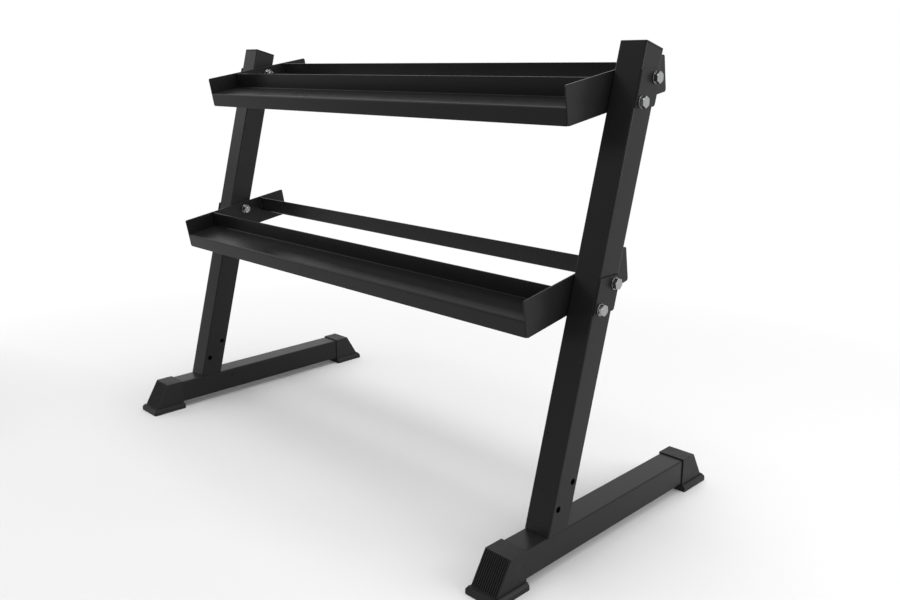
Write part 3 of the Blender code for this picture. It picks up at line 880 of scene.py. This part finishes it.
def make_base_welds(coat):
    """A bead behind each upright, where it stands on its floor tube."""
    inset = TUBE_CORNER + BEAD / 2
    for side, _ in SIDES:
        low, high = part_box("upright_" + side)
        y = low.y + TUBE / math.cos(LEAN)
        start = Vector((low.x + inset, y, low.z))
        end = Vector((high.x - inset, y, low.z))
        name = "weld_base_" + side
        finish_piece(name, bead_mesh(name, start, end, BEAD), coat, [])


def make_shelf_welds(coat):
    """Short beads under the rails' floors and behind their walls, at the side plates."""
    rotation = sloped(SHELF_SLOPE)
    up, mid = PLATE_HEIGHT / 2, PLATE_LENGTH / 2
    under = up - FLOOR_DROP - SHEET
    radius = BEAD * THIN_BEAD
    apron, wall, low_end, high_end = BEAD_CLEARANCES
    front, rear = FRONT_WALL_U + SHEET, REAR_WALL_U
    runs = {"front_floor": ((apron, under), (FRONT_WALL_U - wall, under)),
            "front_wall": ((front, under + low_end), (front, up - high_end)),
            "rear_floor": ((REAR_WALL_U + wall, under), (PLATE_LENGTH - apron, under)),
            "rear_wall": ((rear, under + low_end), (rear, up - high_end))}
    for tier in TIERS:
        low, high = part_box(tier + "_front_rail")
        for side, sign in SIDES:
            centre = shelf_middle(tier, high.x if sign > 0 else low.x)
            for place, ends in runs.items():
                start, end = [centre + rotation @ Vector((u - mid, w, 0)) for u, w in ends]
                name = "weld_%s_%s_%s" % (tier, place, side)
                finish_piece(name, bead_mesh(name, start, end, radius), coat, [])


# ---- Studio ----------------------------------------------------------------------------------
def make_camera():
    data = bpy.data.cameras.new("camera")
    data.lens = CAMERA_LENS
    data.sensor_width = CAMERA_SENSOR
    camera = bpy.data.objects.new("camera", data)
    camera.location = CAMERA_PLACE
    camera.rotation_euler = CAMERA_TURN
    bpy.context.scene.collection.objects.link(camera)
    bpy.context.scene.camera = camera


def room_level(tree, direction):
    """Brightness of the studio in a direction from the rack: white, darker towards one side."""
    toward = calculated(tree, "ShaderNodeVectorMath", "DOT_PRODUCT", "Value", direction, DARK_SIDE)
    return remap(tree, toward, *DARK_REACH, 1.0, DARK_LEVEL)


def make_world():
    """The studio's brightness all round, shown as it is, so that white stays white."""
    world = bpy.data.worlds.new("studio")
    world.use_nodes = True
    tree = world.node_tree
    direction = tree.nodes.new("ShaderNodeTexCoord").outputs["Generated"]
    tree.links.new(room_level(tree, direction), tree.nodes["Background"].inputs["Color"])
    bpy.context.scene.world = world
    bpy.context.scene.view_settings.view_transform = "Standard"


def floor_finish():
    """Pale floor that fades into the studio's own brightness away from the rack."""
    mat, shader = new_material("studio_floor", FLOOR[:3], FLOOR_ROUGHNESS)
    tree = mat.node_tree
    place = object_place(tree)
    patches = noise(tree, place, per_metre=3, detail=3)
    tree.links.new(mixed(tree, patches, FLOOR, FLOOR_PATCH), shader.inputs["Base Color"])
    shader.inputs["Specular IOR Level"].default_value = FLOOR_SPECULAR
    direction = calculated(tree, "ShaderNodeVectorMath", "NORMALIZE", "Vector", place)
    glow = add_node(tree, "ShaderNodeEmission", Color=(1, 1, 1, 1), Strength=room_level(tree, direction))
    distance = calculated(tree, "ShaderNodeVectorMath", "DISTANCE", "Value", place, FADE_CENTRE)
    away = remap(tree, distance, *FADE_REACH, 0.0, 1.0)
    blend = tree.nodes.new("ShaderNodeMixShader")
    for socket, source in zip(blend.inputs, (away, shader.outputs["BSDF"], glow.outputs["Emission"])):
        tree.links.new(source, socket)
    tree.links.new(blend.outputs["Shader"], tree.nodes["Material Output"].inputs["Surface"])
    return mat


def make_floor():
    shape = bmesh.new()
    bmesh.ops.create_circle(shape, cap_ends=True, segments=FLOOR_SIDES, radius=FLOOR_RADIUS)
    mesh = kept(shape, "studio_floor")
    mesh.materials.append(floor_finish())
    floor = bpy.data.objects.new("studio_floor", mesh)
    bpy.context.scene.collection.objects.link(floor)


def add_light(name, place, aim, size, power):
    data = bpy.data.lights.new(name, "AREA")
    data.shape = "DISK"
    data.size = size
    data.energy = power
    light = bpy.data.objects.new(name, data)
    light.location = place
    light.rotation_euler = (Vector(aim) - Vector(place)).to_track_quat("-Z", "Y").to_euler()
    bpy.context.scene.collection.objects.link(light)


def make_lights():
    for light in SOFTBOXES:
        add_light(*light)


make_camera()
make_world()
make_floor()
make_lights()
pieces = bpy.data.collections.new("finished_rack")
bpy.context.scene.collection.children.link(pieces)
powder_coat = powder_coat_finish()
foot_rubber = rubber_finish()
plug_plastic = plug_finish()
zinc_plate = zinc_finish()
make_floor_tubes(powder_coat)
make_uprights(powder_coat)
make_plugs(plug_plastic)
make_feet(foot_rubber)
make_side_plates(powder_coat)
make_rails(powder_coat)
make_clamps(powder_coat)
make_fasteners(zinc_plate)
make_base_welds(powder_coat)
make_shelf_welds(powder_coat)
